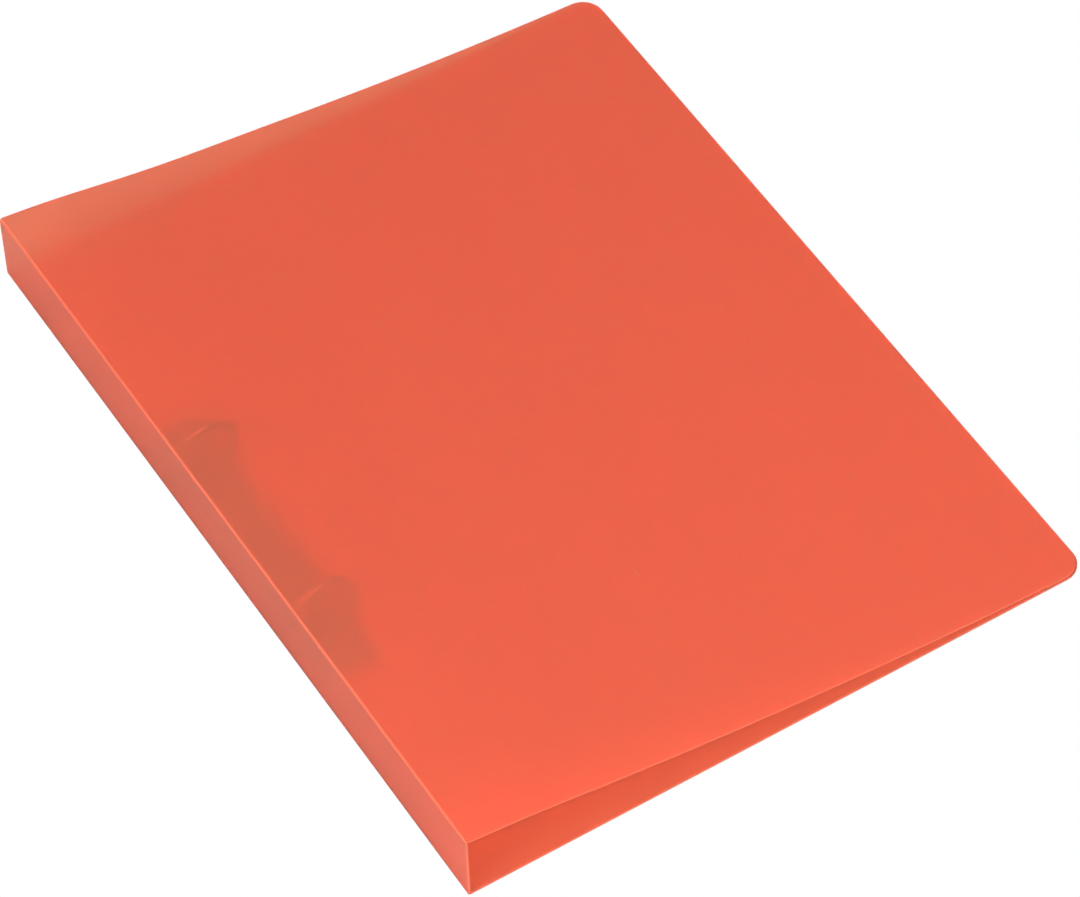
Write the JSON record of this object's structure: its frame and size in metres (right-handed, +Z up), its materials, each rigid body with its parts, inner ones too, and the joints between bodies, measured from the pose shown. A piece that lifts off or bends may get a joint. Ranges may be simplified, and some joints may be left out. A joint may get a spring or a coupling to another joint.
{
  "type": "ring binder",
  "caption": "Slim ring binder of translucent plastic sheet, closed, its cover falling from the spine to the fore-edge over a riveted steel ring mechanism.",
  "frame": {"origin": "on the surface the binder lies on, under the middle of the closed binder", "axes": "+X from the spine to the fore-edge, +Y along the spine towards the head, +Z up through the front cover"},
  "size_m": [0.2454, 0.315, 0.03],
  "materials": {
    "cover_sheet": "frosted translucent orange-red polypropylene",
    "plated_steel": "nickel plate",
    "ring_wire": "bright nickel plate",
    "rivet_metal": "nickel plate"
  },
  "bodies": {
    "base": {"back_cover": "cover_sheet", "back_crease": "cover_sheet", "mechanism_casing": "plated_steel", "head_rivet": "rivet_metal", "foot_rivet": "rivet_metal"},
    "spine": {"spine_panel": "cover_sheet", "front_crease": "cover_sheet"},
    "cover": {"front_cover": "cover_sheet"},
    "spine_side_halves": {"spine_side_wing_plate": "plated_steel", "head_ring_spine_half": "ring_wire", "foot_ring_spine_half": "ring_wire"},
    "fore_side_halves": {"fore_side_wing_plate": "plated_steel", "head_ring_fore_half": "ring_wire", "foot_ring_fore_half": "ring_wire"}
  },
  "joints": [
    {"name": "spine_unfold", "type": "hinge", "parent": "base", "child": "spine", "pos_m": [-0.1224, 0, 0.00035], "axis": [0, -1, 0], "range_deg": [0, 90], "deforming": ["back_crease"]},
    {"name": "front_cover_open", "type": "hinge", "parent": "spine", "child": "cover", "pos_m": [-0.1224, 0, 0.02965], "axis": [0, -1, 0], "range_deg": [0, 96], "deforming": ["front_crease"]},
    {"name": "spine_side_halves_open", "type": "hinge", "parent": "base", "child": "spine_side_halves", "pos_m": [-0.11575, 0, 0.002], "axis": [0, -1, 0], "range_deg": [0, 18]},
    {"name": "fore_side_halves_open", "type": "hinge", "parent": "base", "child": "fore_side_halves", "pos_m": [-0.09975, 0, 0.002], "axis": [0, 1, 0], "range_deg": [0, 18]}
  ],
  "couplings": [
    {"joint": "spine_side_halves_open", "follows": "spine_unfold", "ratio": 0.2},
    {"joint": "fore_side_halves_open", "follows": "spine_unfold", "ratio": 0.2}
  ]
}
